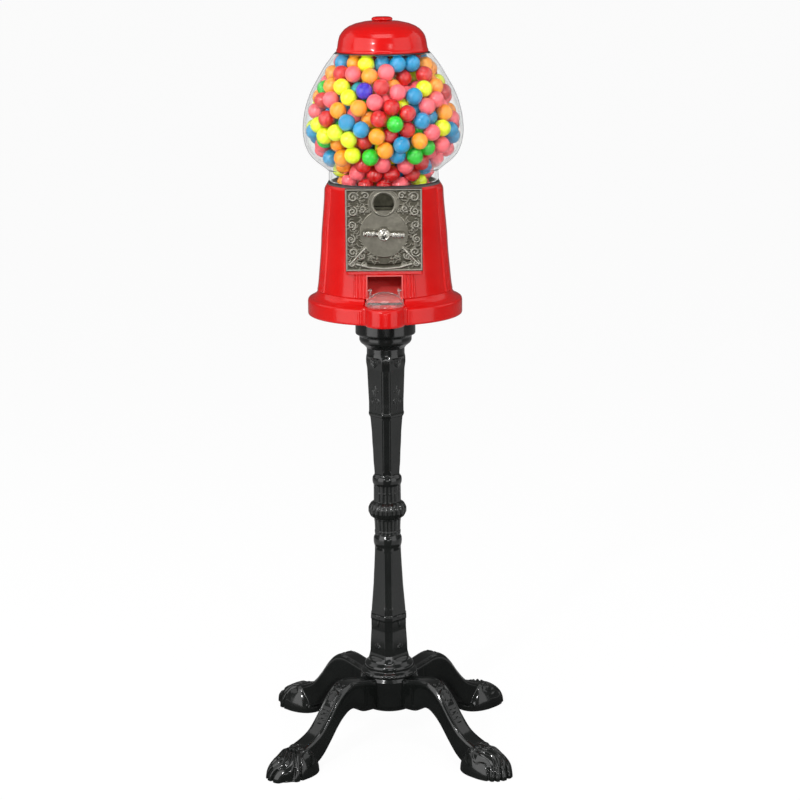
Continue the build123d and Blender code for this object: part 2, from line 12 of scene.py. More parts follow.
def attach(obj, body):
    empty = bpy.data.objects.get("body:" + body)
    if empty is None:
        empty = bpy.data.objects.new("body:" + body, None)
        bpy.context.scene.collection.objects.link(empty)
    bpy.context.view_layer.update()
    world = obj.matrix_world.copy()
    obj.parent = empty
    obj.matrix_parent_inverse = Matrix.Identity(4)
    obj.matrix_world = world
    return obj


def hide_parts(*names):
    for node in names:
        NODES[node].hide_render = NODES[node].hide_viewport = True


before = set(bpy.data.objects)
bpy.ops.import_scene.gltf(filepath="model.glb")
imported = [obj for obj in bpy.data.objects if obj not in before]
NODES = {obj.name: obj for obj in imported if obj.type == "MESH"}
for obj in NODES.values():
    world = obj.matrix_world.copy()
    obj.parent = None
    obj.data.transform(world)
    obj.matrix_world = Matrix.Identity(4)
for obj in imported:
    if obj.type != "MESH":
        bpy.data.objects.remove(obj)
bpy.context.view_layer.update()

MM = 0.001
scene = bpy.context.scene
scene.view_settings.view_transform = "Standard"
TAU = 2 * math.pi


# ------------------------------------------------------------------ materials
def new_material(name, base, roughness=0.4, **sockets):
    """A Principled material. Sockets that are the same all over are set on the shader itself."""
    material = bpy.data.materials.new(name)
    material.use_nodes = True
    shader = material.node_tree.nodes["Principled BSDF"]
    shader.inputs["Base Color"].default_value = (*base, 1)
    shader.inputs["Roughness"].default_value = roughness
    for socket, value in sockets.items():
        shader.inputs[socket.replace("_", " ")].default_value = value
    return material, material.node_tree, shader


def add_node(tree, kind, **settings):
    node = tree.nodes.new(kind)
    for key, value in settings.items():
        if key in node.inputs:
            node.inputs[key].default_value = value
        else:
            setattr(node, key, value)
    return node


def math_node(tree, operation, *terms):
    """Arithmetic on sockets or plain numbers."""
    node = add_node(tree, "ShaderNodeMath", operation=operation)
    for socket, term in zip(node.inputs, terms):
        if isinstance(term, (int, float)):
            socket.default_value = term
        else:
            tree.links.new(term, socket)
    return node.outputs["Value"]


def mix_shaders(tree, factor, first, second):
    """Shows first where factor is 0 and second where it is 1."""
    node = add_node(tree, "ShaderNodeMixShader")
    for socket, source in zip(node.inputs, (factor, first, second)):
        tree.links.new(source, socket)
    return node.outputs["Shader"]


def noise(tree, scale, detail):
    coordinates = add_node(tree, "ShaderNodeTexCoord")
    texture = add_node(tree, "ShaderNodeTexNoise", Scale=scale, Detail=detail, Roughness=0.5)
    tree.links.new(coordinates.outputs["Object"], texture.inputs["Vector"])
    return texture.outputs["Fac"]


def ramp(tree, source, stops):
    """A colour ramp from (position, colour) stops."""
    node = add_node(tree, "ShaderNodeValToRGB")
    elements = node.color_ramp.elements
    elements[0].position, elements[0].color = stops[0][0], (*stops[0][1], 1)
    elements[1].position, elements[1].color = stops[-1][0], (*stops[-1][1], 1)
    for position, colour in stops[1:-1]:
        elements.new(position).color = (*colour, 1)
    tree.links.new(source, node.inputs["Fac"])
    return node.outputs["Color"]


def spread(tree, source, low, high):
    """Stretches a noise, which is mostly between 0.3 and 0.7, to low and high."""
    node = add_node(tree, "ShaderNodeMapRange")
    for socket, value in {"From Min": 0.3, "From Max": 0.7, "To Min": low, "To Max": high}.items():
        node.inputs[socket].default_value = value
    tree.links.new(source, node.inputs["Value"])
    return node.outputs["Result"]


def bump(tree, shader, source, millimetres, before=None):
    """Gives a shader relief of that height, on top of an earlier bump if there is one."""
    node = add_node(tree, "ShaderNodeBump", Distance=millimetres * MM, Strength=1.0)
    tree.links.new(source, node.inputs["Height"])
    if before is not None:
        tree.links.new(before, node.inputs["Normal"])
    tree.links.new(node.outputs["Normal"], shader.inputs["Normal"])
    return node.outputs["Normal"]


def colour_and_gloss(tree, shader, colour_noise, stops, gloss_noise, rough):
    """Drives base colour and roughness by two noises, each given as scale and detail."""
    tree.links.new(ramp(tree, noise(tree, *colour_noise), stops), shader.inputs["Base Color"])
    tree.links.new(spread(tree, noise(tree, *gloss_noise), *rough), shader.inputs["Roughness"])


def enamel(name, dark, light, rough, coat, grain, grain_mm, **sockets):
    """Glossy paint over a casting: slow colour drift, uneven gloss and the grain showing through."""
    material, tree, shader = new_material(name, light, Coat_Weight=coat, Coat_Roughness=0.06, **sockets)
    colour_and_gloss(tree, shader, (18, 4), [(0.3, dark), (0.7, light)], (60, 4), rough)
    broad = bump(tree, shader, noise(tree, grain, 2), grain_mm)
    bump(tree, shader, noise(tree, grain * 6, 2), grain_mm * 0.12, before=broad)
    return material


def metal(name, dark, light, rough):
    """Plated or bare metal with mottled tone and fine tooling marks."""
    material, tree, shader = new_material(name, light, Metallic=1.0)
    colour_and_gloss(tree, shader, (120, 5), [(0.35, dark), (0.65, light)], (200, 4), rough)
    bump(tree, shader, noise(tree, 900, 3), 0.02)
    return material


def plastic(name, dark, light, rough):
    """Moulded plastic or rubber with a fine texture."""
    material, tree, shader = new_material(name, light)
    colour_and_gloss(tree, shader, (25, 3), [(0.3, dark), (0.7, light)], (90, 3), rough)
    bump(tree, shader, noise(tree, 1500, 2), 0.01)
    return material


def clear(name, tint, ior, rough, wave_mm, transmission=1.0):
    """Clear glass or plastic that lets lamps light what is behind it."""
    material, tree, shader = new_material(name, tint, rough, IOR=ior, Transmission_Weight=transmission)
    bump(tree, shader, noise(tree, 22, 2), wave_mm)
    shadow = add_node(tree, "ShaderNodeLightPath").outputs["Is Shadow Ray"]
    through = add_node(tree, "ShaderNodeBsdfTransparent").outputs["BSDF"]
    tree.links.new(mix_shaders(tree, shadow, shader.outputs["BSDF"], through),
                   tree.nodes["Material Output"].inputs["Surface"])
    return material


RED = enamel("red_enamel", (0.70, 0.004, 0.004), (0.80, 0.008, 0.006), (0.16, 0.26), 0.3, 120, 0.012,
             Specular_IOR_Level=0.35)
# Painted light: the chute has the body's red paint, and this lighter, pinker copy stands in for light
# reaching into the dark opening.
RED_CHUTE_PAINTED_LIGHT = enamel("red_chute_enamel_painted_light", (0.80, 0.09, 0.08), (0.90, 0.13, 0.12), (0.35, 0.5), 0.3, 160, 0.06)
BLACK = enamel("black_enamel", (0.005, 0.006, 0.0055), (0.011, 0.0125, 0.0115), (0.12, 0.22), 0.5, 220, 0.012)
STEEL = metal("zinc_steel", (0.42, 0.42, 0.40), (0.62, 0.61, 0.58), (0.3, 0.5))
COIN_METAL = metal("coin_wheel_steel", (0.055, 0.053, 0.038), (0.10, 0.096, 0.07), (0.35, 0.5))
BRIGHT = metal("knob_nickel", (0.42, 0.40, 0.34), (0.74, 0.72, 0.66), (0.16, 0.32))
WHITE_PLASTIC = plastic("white_plastic", (0.66, 0.65, 0.60), (0.80, 0.79, 0.75), (0.4, 0.55))
GREY_PLASTIC = plastic("grey_plastic", (0.10, 0.105, 0.10), (0.15, 0.155, 0.15), (0.4, 0.55))
DARK_PLASTIC = plastic("black_plastic", (0.02, 0.02, 0.02), (0.035, 0.035, 0.035), (0.45, 0.6))
RUBBER = plastic("gasket_rubber", (0.035, 0.035, 0.034), (0.06, 0.06, 0.058), (0.6, 0.8))
GLASS = clear("globe_glass", (0.985, 0.995, 0.99), 1.17, 0.0, 0.03)
CLEAR_PLASTIC = clear("flap_clear_plastic", (0.72, 0.64, 0.62), 1.45, 0.05, 0.05, transmission=0.9)


def pewter():
    """Aged nickel: dark patina in the hollows of the relief, rubbed bright on its high points."""
    material, tree, shader = new_material("aged_nickel", (0.3, 0.28, 0.24), Metallic=1.0)
    height = add_node(tree, "ShaderNodeAttribute", attribute_name="relief")
    mottle = spread(tree, noise(tree, 260, 5), -0.05, 0.05)
    colour = ramp(tree, math_node(tree, "ADD", height.outputs["Fac"], mottle), [
        (0.0, (0.055, 0.05, 0.036)), (0.3, (0.165, 0.155, 0.122)), (0.6, (0.28, 0.265, 0.22)),
        (1.0, (0.66, 0.63, 0.56))])
    tree.links.new(colour, shader.inputs["Base Color"])
    tree.links.new(spread(tree, noise(tree, 150, 4), 0.3, 0.46), shader.inputs["Roughness"])
    bump(tree, shader, noise(tree, 1400, 3), 0.03)
    return material


PEWTER = pewter()


def candy(name, colour):
    """A gumball's sugar shell: a little cloudy and uneven, with a polished glaze."""
    material, tree, shader = new_material(name, colour, Coat_Weight=1.0, Coat_Roughness=0.2, Coat_IOR=1.65,
                                          Specular_IOR_Level=0.2)
    pale = tuple(c + (1 - c) * 0.05 for c in colour)
    deep = tuple(c * 0.86 for c in colour)
    stops = [(0.3, deep), (0.5, colour), (0.75, pale)]
    colour_and_gloss(tree, shader, (130, 4), stops, (300, 3), (0.3, 0.42))
    bump(tree, shader, noise(tree, 260, 2), 0.05)
    return material


CANDY_COLOURS = {
    "orange": (1.0, 0.33, 0.001), "red": (0.58, 0.003, 0.003), "pink": (0.98, 0.13, 0.16),
    "sky": (0.001, 0.27, 0.54), "teal": (0.001, 0.33, 0.40), "green": (0.004, 0.55, 0.012),
    "yellow": (0.80, 0.95, 0.002), "indigo": (0.03, 0.015, 0.50)}
CANDIES = {name: candy("gumball_" + name, colour) for name, colour in CANDY_COLOURS.items()}


# ------------------------------------------------------------------ mesh helpers
def put(name, data):
    """An object with that data, in the scene."""
    obj = bpy.data.objects.new(name, data)
    scene.collection.objects.link(obj)
    return obj


def make_object(name, verts, faces, material, body, slot, replaces):
    """A piece from millimetre vertices. It rides on a CAD body and stands for a CAD node."""
    mesh = bpy.data.meshes.new(name)
    verts = np.asarray(verts, float) * MM
    mesh.from_pydata(verts.tolist(), [], faces.tolist() if isinstance(faces, np.ndarray) else faces)
    mesh.update()
    obj = put(name, mesh)
    mesh.polygons.foreach_set("use_smooth", [True] * len(mesh.polygons))
    mesh.materials.append(material)
    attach(obj, body)
    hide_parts(replaces)
    return obj


def with_modifiers(obj):
    """A mesh of the object as its modifiers leave it."""
    return bpy.data.meshes.new_from_object(obj.evaluated_get(bpy.context.evaluated_depsgraph_get()))


def surface_points(radius, angle, height):
    """Vertices from grids of radius, angle about Z and height."""
    return np.stack([radius * np.cos(angle), radius * np.sin(angle), height], axis=-1).reshape(-1, 3)


def grid_quads(rows, columns, wrap_rows=False, wrap_columns=False, offset=0):
    """The quads of a rows by columns grid of vertices."""
    r = np.arange(rows if wrap_rows else rows - 1)
    c = np.arange(columns if wrap_columns else columns - 1)
    r, c = np.meshgrid(r, c, indexing="ij")
    r1, c1 = (r + 1) % rows, (c + 1) % columns
    return offset + np.stack([r * columns + c, r * columns + c1, r1 * columns + c1, r1 * columns + c],
                             axis=-1).reshape(-1, 4)


def weld(obj, distance=1e-6):
    """Merges doubled vertices, and points all faces outwards."""
    mesh = bmesh.new()
    mesh.from_mesh(obj.data)
    bmesh.ops.remove_doubles(mesh, verts=mesh.verts, dist=distance)
    bmesh.ops.recalc_face_normals(mesh, faces=mesh.faces)
    mesh.to_mesh(obj.data)
    mesh.free()
    obj.data.update()


def sample_line(points, step):
    """Points every step along a polyline."""
    points = np.asarray(points, float)
    lengths = np.hypot(*np.diff(points, axis=0).T)
    along = np.concatenate([[0], np.cumsum(lengths)])
    count = max(2, int(round(along[-1] / step)) + 1)
    s = np.linspace(0, along[-1], count)
    return np.stack([np.interp(s, along, points[:, k]) for k in range(points.shape[1])], axis=1)


def soften(points, passes):
    """Rounds a sampled line's corners."""
    points = points.copy()
    for _ in range(passes):
        points[1:-1] = points[1:-1] * 0.5 + (points[:-2] + points[2:]) * 0.25
    return points


def catmull(points, count):
    """A smooth curve through the points."""
    p = np.asarray(points, float)
    p = np.vstack([2 * p[0] - p[1], p, 2 * p[-1] - p[-2]])
    t = np.linspace(0, len(p) - 3 - 1e-9, count)
    i = t.astype(int)
    f = (t - i)[:, None]
    a, b, c, d = p[i], p[i + 1], p[i + 2], p[i + 3]
    return 0.5 * (2 * b + (c - a) * f + (2 * a - 5 * b + 4 * c - d) * f ** 2
                  + (3 * b - a - 3 * c + d) * f ** 3)


def smoothstep(low, high, value):
    t = np.clip((value - low) / (high - low), 0, 1)
    return t * t * (3 - 2 * t)


def turned(name, profile, segments, material, body, relief=None, step=0.7, rounding=2, back=(), **rest):
    """A piece turned about Z. profile is its seen side as (radius, height), with relief(theta, r, z)
    added to the radius, and back closes the outline."""
    line = soften(sample_line(profile, step), rounding)
    seen = len(line)
    if len(back):
        line = np.vstack([line, back])
    theta = np.linspace(0, TAU, segments, endpoint=False)
    r, t = np.meshgrid(line[:, 0], theta, indexing="ij")
    z = np.repeat(line[:, 1][:, None], segments, axis=1)
    if relief is not None:
        r[:seen] += relief(t[:seen], r[:seen], z[:seen])
    quads = grid_quads(len(line), segments, True, True)
    weld(make_object(name, surface_points(r, t, z), quads, material, body, **rest))


def stroke_relief(x, y, strokes):
    """The height of rounded strokes over the points (x, y). A stroke is (line, width, height)."""
    shape = x.shape
    x, y = x.ravel(), y.ravel()
    total = np.zeros_like(x)
    for line, width, height in strokes:
        line = np.asarray(line, float)
        near = np.flatnonzero((x > line[:, 0].min() - width) & (x < line[:, 0].max() + width)
                              & (y > line[:, 1].min() - width) & (y < line[:, 1].max() + width))
        if not len(near):
            continue
        px, py = x[near], y[near]
        best = np.full(len(near), 1e9)
        for (ax, ay), (bx, by) in zip(line[:-1], line[1:]):
            dx, dy = bx - ax, by - ay
            t = np.clip(((px - ax) * dx + (py - ay) * dy) / max(dx * dx + dy * dy, 1e-9), 0, 1)
            best = np.minimum(best, (px - ax - t * dx) ** 2 + (py - ay - t * dy) ** 2)
        total[near] = np.maximum(total[near], height * np.sqrt(np.clip(1 - best / width ** 2, 0, 1)))
    return total.reshape(shape)


def volute(cx, cy, radius, turns, start, hand, width, height):
    """A spiral stroke that winds in towards its centre."""
    t = np.linspace(0, 1, int(14 * turns) + 4)
    angle = start + hand * t * turns * TAU
    r = radius * (1 - 0.82 * t)
    return (np.stack([cx + r * np.cos(angle), cy + r * np.sin(angle)], axis=1), width, height)


def arc(cx, cy, radius, start, end, width, height, steps=10):
    angle = np.linspace(start, end, steps)
    return (np.stack([cx + radius * np.cos(angle), cy + radius * np.sin(angle)], axis=1), width, height)


def window(z, low, high, edge):
    """1 between low and high, falling to 0 over edge inside each end."""
    return smoothstep(low, low + edge, z) * (1 - smoothstep(high - edge, high, z))


def from_diagonal(theta):
    """The angle from the nearest diagonal."""
    return theta % (TAU / 4) - TAU / 8


def from_cardinal(theta):
    """The angle from the nearest of front, back, left and right."""
    return (theta + TAU / 8) % (TAU / 4) - TAU / 8


def four_faced(theta, r, strip=10.4):
    """Relief that turns a round section into four broad faces on the diagonals, with narrow strips
    between them."""
    strip_apothem = 0.985 * r
    face_apothem = (strip_apothem + strip / 2) / math.sqrt(2)
    faces = face_apothem / np.cos(from_diagonal(theta))
    return np.minimum(faces, strip_apothem / np.cos(from_cardinal(theta))) - r


def lobes(theta, count, depth, sharp=0.6):
    """Rounded flutes about Z: 0 on their crests, -depth between them."""
    return -depth * (1 - np.abs(np.cos(theta * count / 2)) ** sharp)


def groove(offset, width, depth):
    return -depth * np.exp(-(offset / width) ** 2)


def reeds(offset, start, width, count, depth):
    """Half-round reeds side by side from start outwards: 0 on their crests, -depth between them."""
    u = (np.abs(offset) - start) / width
    within = (u > 0) & (u < count)
    return np.where(within, -depth * (1 - np.sqrt(np.clip(1 - (2 * (u % 1) - 1) ** 2, 0, 1))), 0)


# ------------------------------------------------------------------ column
HUB_TOP, BEAD_LOW, BEAD_HIGH, COLLAR_LOW, FLANGE_LOW = 92, 302, 324, 526, 571
BORE, COLLAR_BORE, ROD_HOLE, COLLAR_FLOOR = 11.0, 17, 5.5, 556
CAST_BLACK = {"material": BLACK, "body": "machine", "slot": "black_cast"}
LEAF = [  # strokes as arc length from a diagonal and height
    volute(-4.4, 458, 3.6, 1.3, 0.2, 1, 0.9, 1.0), volute(4.4, 458, 3.6, 1.3, math.pi - 0.2, -1, 0.9, 1.0),
    ([(0, 448), (0, 470)], 0.9, 1.1), ([(-1, 462), (-3.5, 470), (-5.5, 472)], 0.9, 0.9),
    ([(1, 462), (3.5, 470), (5.5, 472)], 0.9, 0.9),
    ([(0, 466), (-1.6, 474), (0, 478), (1.6, 474), (0, 466)], 0.8, 0.8)]
SHIELD = [([(-6, 512), (-6, 507), (0, 503), (6, 507), (6, 512)], 1.2, 1.0),
          ([(-3, 510), (0, 507), (3, 510)], 0.9, 0.8)]
LOW_LEAF = [([(-3, 172), (-2, 164), (0, 158)], 0.9, 0.9), ([(3, 172), (2, 164), (0, 158)], 0.9, 0.9),
            ([(0, 172), (0, 160)], 0.8, 0.9), volute(-2.6, 130, 2.6, 1.1, 0, 1, 0.8, 0.8),
            volute(2.6, 130, 2.6, 1.1, math.pi, -1, 0.8, 0.8), ([(0, 134), (0, 123)], 0.8, 0.8)]


def lower_relief(theta, r, z):
    cardinal, diagonal = np.abs(from_cardinal(theta) * r), from_diagonal(theta) * r
    shaft, panel, fluted = window(z, 112, 264, 5), window(z, 182, 260, 4), window(z, 280, BEAD_LOW, 2)
    band, bead, foot = window(z, 166, 174, 1.2), window(z, 280, 286, 1), window(z, HUB_TOP, 98, 1)
    relief = shaft * four_faced(theta, r)
    relief += panel * (groove(cardinal - 5.2, 0.5, 0.7) + groove(cardinal - 2.4, 0.4, 0.3))
    relief += fluted * lobes(theta, 16, 1.3)
    relief += band * 0.7 + bead * 0.5
    return relief + stroke_relief(diagonal, z, LOW_LEAF) + foot * lobes(theta, 24, 0.5)


def upper_relief(theta, r, z):
    cardinal, diagonal = from_cardinal(theta) * r, from_diagonal(theta) * r
    shaft, high_panel, low_panel = window(z, 358, 516, 4), window(z, 442, 500, 3), window(z, 364, 436, 3)
    fluted, cupped, band = window(z, BEAD_HIGH, 336, 1), window(z, 335, 349, 3), window(z, 437, 442, 1)
    relief = shaft * four_faced(theta, r)
    relief += high_panel * groove(np.abs(cardinal) - 5.0, 0.6, 1.3)
    relief += low_panel * groove(np.abs(cardinal) - 4.6, 0.5, 0.8)
    relief += fluted * lobes(theta, 16, 1.3) + cupped * lobes(theta, 16, 1.0, 0.4)
    relief += band * 0.7
    return relief + stroke_relief(diagonal, z, LEAF + SHIELD)


def bead_relief(theta, _, z):
    return window(z, BEAD_LOW, BEAD_HIGH, 5) * lobes(theta, 20, 2.0, 0.5)


COLUMN_FOOT = [(36, HUB_TOP), (37.5, 94), (36.5, 97), (32, 100), (32.4, 103), (31.8, 106), (27, 110),
               (24.6, 120), (24.3, 130), (23.6, 142), (22.9, 152), (22.9, 167), (22.2, 180), (20.9, 195),
               (19.5, 212), (18.9, 224), (18.2, 236), (17.5, 250), (16.9, 264), (18.1, 268), (18.4, 272),
               (18.1, 276), (16.2, 280), (16.8, 296), (17.6, BEAD_LOW)]
turned("lower_column_cast", COLUMN_FOOT, 192, relief=lower_relief, replaces="lower_column",
       back=[(BORE, BEAD_LOW), (BORE, HUB_TOP)], **CAST_BLACK)
BEAD_SIDE = [(18, BEAD_LOW), (22.2, 305), (24.6, 310), (24.6, 316), (22.2, 321), (18, BEAD_HIGH)]
turned("bead_ring_cast", BEAD_SIDE, 240, relief=bead_relief, replaces="bead_ring",
       back=[(BORE, BEAD_HIGH), (BORE, BEAD_LOW)], **CAST_BLACK)
COLUMN_HEAD = [(17.6, BEAD_HIGH), (17.4, 346), (18.7, 349), (19, 352.5), (18.7, 356), (16.1, 360),
               (16.7, 369), (17.4, 377), (18, 393), (18.6, 401), (19.2, 417), (20.5, 432), (21.1, 438),
               (22.4, 441), (22.4, 456), (23, 470), (23.6, 485), (24.2, 500), (25.4, 508), (25.4, 513),
               (24.1, 518), (24.1, COLLAR_LOW)]
turned("upper_column_cast", COLUMN_HEAD, 192, relief=upper_relief, replaces="upper_column",
       back=[(BORE, COLLAR_LOW), (BORE, BEAD_HIGH)], **CAST_BLACK)
COLLAR_SIDE = [(24.4, COLLAR_LOW), (26.7, 529), (31.8, 533), (33.3, 536), (33.3, 542), (38.1, 544.5),
               (38.1, FLANGE_LOW)]
turned("top_collar_cast", COLLAR_SIDE, 144, replaces="top_collar", **CAST_BLACK,
       back=[(COLLAR_BORE, FLANGE_LOW), (COLLAR_BORE, COLLAR_FLOOR), (ROD_HOLE, COLLAR_FLOOR),
             (ROD_HOLE, COLLAR_LOW)])

# ------------------------------------------------------------------ body and its base flange
BODY_SIDE = np.array([(83.5, 602), (82.2, 610), (80.7, 625), (79.3, 640), (78, 656), (77.2, 671), (75.9, 686),
                      (74.5, 701), (73.2, 716), (72.4, 731), (71.2, 735)])
SLICES = 1080              # points around the body and its flange
BODY_WALL, BODY_MOUTH = 3.5, 66
PAD_HEIGHT, PAD_HALF = 1.8, math.radians(25.5)
SIDE_REEDS, FRONT_REEDS = (19, 4.8, 3, 1.5), (23, 4.7, 3, 1.5)     # start, width, count, depth
APRON_HALF, APRON_TOP = 0.47, 631          # raised panel around the mouth
FRONT = math.radians(270)
HOUSING_FRONT, HOUSING_HALF, HOUSING_LOW = 80.0, 47.0, 632.05
CORNER_POWER = 70          # higher is a sharper corner on the housing


def angle_from(theta, centre):
    return (theta - centre + math.pi) % TAU - math.pi


def carve(obj, tool):
    """Cuts a closed tool out of a piece."""
    cut = obj.modifiers.new("cut", "BOOLEAN")
    cut.operation, cut.solver, cut.object = "DIFFERENCE", "EXACT", tool
    result = with_modifiers(obj)
    obj.modifiers.remove(cut)
    obj.data = result
    bpy.data.objects.remove(tool)


def box_tool(x, y, z, rounding):
    """A box to cut with, from (low, high) pairs, its edges rounded."""
    bm = bmesh.new()
    bmesh.ops.create_cube(bm, size=1)
    for v in bm.verts:
        v.co = [(low + high) / 2 * MM + c * (high - low) * MM for c, (low, high) in zip(v.co, (x, y, z))]
    bmesh.ops.bevel(bm, geom=bm.edges, offset=rounding * MM, segments=5, profile=0.5, affect="EDGES")
    mesh = bpy.data.meshes.new("tool")
    bm.to_mesh(mesh)
    bm.free()
    tool = put("tool", mesh)
    bpy.context.view_layer.update()
    return tool


def slices_around(edges):
    """Angles all round, closer together near the given edges, which are arrays of angles."""
    return np.unique(np.round(np.concatenate([np.linspace(0, TAU, SLICES, endpoint=False), *edges]), 6))


def build_body():
    corner = math.atan2(HOUSING_HALF, HOUSING_FRONT)
    theta = slices_around([FRONT + side * corner + np.linspace(-0.02, 0.02, 13) for side in (-1, 1)])
    z = np.concatenate([np.arange(602, 631.5, 1), [631.9, 632.1, 632.6, 633.2], np.arange(634, 735, 1.5),
                        [735]])
    wall = catmull(BODY_SIDE, 400)
    cone = np.interp(z, wall[:, 1], wall[:, 0])
    t, height = np.meshgrid(theta, z)
    r = np.repeat(cone[:, None], len(theta), axis=1)
    total = r.copy()
    for centre in (0, math.pi / 2, math.pi):
        away = angle_from(t, centre)
        pad = 1 - smoothstep(PAD_HALF - 0.012, PAD_HALF, np.abs(away))
        top = 1 - smoothstep(728, 735, height)
        total = np.maximum(total, r + pad * top * (PAD_HEIGHT + reeds(away * r, *SIDE_REEDS)))
    front = angle_from(t, FRONT)
    apron = 1 - smoothstep(APRON_HALF, APRON_HALF + 0.015, np.abs(front))
    apron *= 1 - smoothstep(APRON_TOP, APRON_TOP + 2, height)
    total = np.maximum(total, r + apron * (PAD_HEIGHT + reeds(front * r, *FRONT_REEDS)))
    facing = np.abs(front) < math.pi / 2
    flat = ((np.clip(np.cos(front), 0.01, 1) / HOUSING_FRONT) ** CORNER_POWER
            + (np.abs(np.sin(front)) / HOUSING_HALF) ** CORNER_POWER) ** (-1 / CORNER_POWER)
    total = np.where(facing & (height >= HOUSING_LOW), np.maximum(total, flat), total)
    inner_z = np.array([735, 729, 700, 670, 640, 602.0])
    inner = np.interp(inner_z, wall[:, 1], wall[:, 0]) - BODY_WALL
    inner[0] = BODY_MOUTH
    radius = np.vstack([total, np.repeat(inner[:, None], len(theta), axis=1)])
    heights = np.concatenate([z, inner_z])[:, None] * np.ones(len(theta))
    angles = np.repeat(theta[None, :], len(heights), axis=0)
    quads = grid_quads(len(heights), len(theta), True, True)
    body = make_object("body_casting", surface_points(radius, angles, heights), quads, RED, "machine",
                       slot="red_cast", replaces="body_shell")
    weld(body)
    mouth = box_tool((-22.6, 22.6), (-100, -60), (590, 631.4), 3.0)
    carve(body, mouth)
    behind_plate = box_tool((-45, 45), (-90, -60), (637.5, 731.5), 2.0)
    carve(body, behind_plate)


build_body()

NOSE_HALF, NOSE_CENTRE, NOSE_TOP, FLANGE_R = 24.0, 94.0, 594.0, 97.5
FLANGE_SIDE = [(97.5, 573), (97.5, 588), (96.9, 590.4), (95.2, 591.6), (91.5, 593), (88, 595.5), (85.6, 599),
               (84.6, 602), (78, 602)]
FLANGE_REEDS = (25, 3, 3, 0.9)
FLAP_ROOM = math.asin(25.2 / 86)           # half the angle of the step that the flap rests in
DISH_R, DISH_DEPTH = 13.4, 5               # hollow in the nose
BOTTOM_Z, RECESS_R, RECESS_Z = 571.0, 39.5, 576


def build_flange():
    """Rows from the foot outwards, up the rim and in over the top. On the nose the top is one low step."""
    theta = slices_around([FRONT + side * np.linspace(FLAP_ROOM - 0.02, FLAP_ROOM + 0.02, 25)
                           for side in (-1, 1)])
    front = angle_from(theta, FRONT)
    reach = np.sqrt(np.clip(NOSE_HALF ** 2 - (NOSE_CENTRE * np.sin(front)) ** 2, 0, None))
    nose = np.where((np.abs(front) < 0.26) & (reach > 0), NOSE_CENTRE * np.cos(front) + reach, 0)
    edge = np.maximum(FLANGE_R, nose)
    edge = edge + reeds(front * FLANGE_R, *FLANGE_REEDS) * (np.abs(front) < 0.4)
    low_top = 1 - smoothstep(FLAP_ROOM - 0.006, FLAP_ROOM + 0.006, np.abs(front))
    plain = soften(sample_line(FLANGE_SIDE, 0.9), 1)
    rows = [(np.full_like(edge, RECESS_R), BOTTOM_Z), (edge - 1.2, BOTTOM_Z), (edge - 0.3, BOTTOM_Z + 0.6)]
    stations, set_back = [0, 0.3, 0.36, 0.42, 1], 3.2
    for share, (radius, height) in zip(np.linspace(0, 1, len(plain)), plain):
        along = np.interp(share, stations, [0, 0, 1.0, set_back, 0])
        inwards = (edge - set_back) + (78 - edge + set_back) * (share - 0.42) / 0.58
        low_r = np.where(share < 0.42, edge - along, inwards)
        low_z = np.interp(share, stations, [573, 590, 593, NOSE_TOP, NOSE_TOP])
        from_dish = np.hypot(low_r * np.sin(front), NOSE_CENTRE - low_r * np.cos(front))
        low_z = low_z - DISH_DEPTH * (1 - smoothstep(DISH_R, DISH_R + 1, from_dish)) * (share > 0.45)
        plain_r = radius + (edge - FLANGE_R) * (share < 0.35)
        rows.append((plain_r * (1 - low_top) + low_r * low_top, height * (1 - low_top) + low_z * low_top))
    rows += [(78.0, RECESS_Z), (RECESS_R, RECESS_Z)]
    radius, height = (np.array([np.broadcast_to(row[k], edge.shape) for row in rows]) for k in (0, 1))
    quads = grid_quads(len(radius), len(theta), True, True)
    weld(make_object("flange_casting", surface_points(radius, theta, height), quads, RED, "machine",
                     slot="red_cast", replaces="base_flange"))


build_flange()

# ------------------------------------------------------------------ coin mechanism's face plate
KNOB_Z, WINDOW_Z, WINDOW_R, SHAFT_R = 683.0, 719.0, 12.5, 5.06
PLATE_HALF, PLATE_LOW, PLATE_HIGH, PLATE_BACK = 47.0, 636.5, 737.5, 80.0
FIELD_R, SILL_Z = 28.5, 711.0
SCROLLS = [  # left half, as x, z, radius, turns, start angle, hand
    (-37, 727, 6.5, 1.4, 0.4, 1), (-22, 729, 4.5, 1.2, 2.5, -1), (-38, 710, 6, 1.5, 1.2, -1),
    (-26, 713, 4.2, 1.2, 4.0, 1), (-39, 693, 5.5, 1.4, 5.0, 1), (-40, 676, 5.5, 1.4, 1.5, -1),
    (-38, 660, 6, 1.5, 3.6, 1), (-28, 655, 4.2, 1.2, 0.6, -1), (-39, 646, 4.2, 1.3, 2.2, 1),
    (-25, 645, 3.6, 1.2, 5.4, 1)]


def plate_strokes():
    """Scrolls on both halves, with small curled leaves between them."""
    rng = random.Random(5)
    strokes = []
    leaves = [(rng.uniform(-45, -6), rng.uniform(641, 734), rng.uniform(2.2, 4), rng.uniform(0, TAU))
              for _ in range(170)]
    for side in (1, -1):
        for x, z, radius, turns, start, hand in SCROLLS:
            begin = start if side == 1 else math.pi - start
            strokes.append(volute(side * x, z, radius, turns, begin, side * hand, 1.15, 1.1))
        for x, z, radius, start in leaves:
            begin = start if side == 1 else math.pi - start
            strokes.append(arc(side * x, z, radius, begin, begin + side * 1.9, 0.75, 0.75, 7))
        strokes.append(([(side * -42, 645), (side * -23, 665)], 1.3, 1.3))
    return strokes


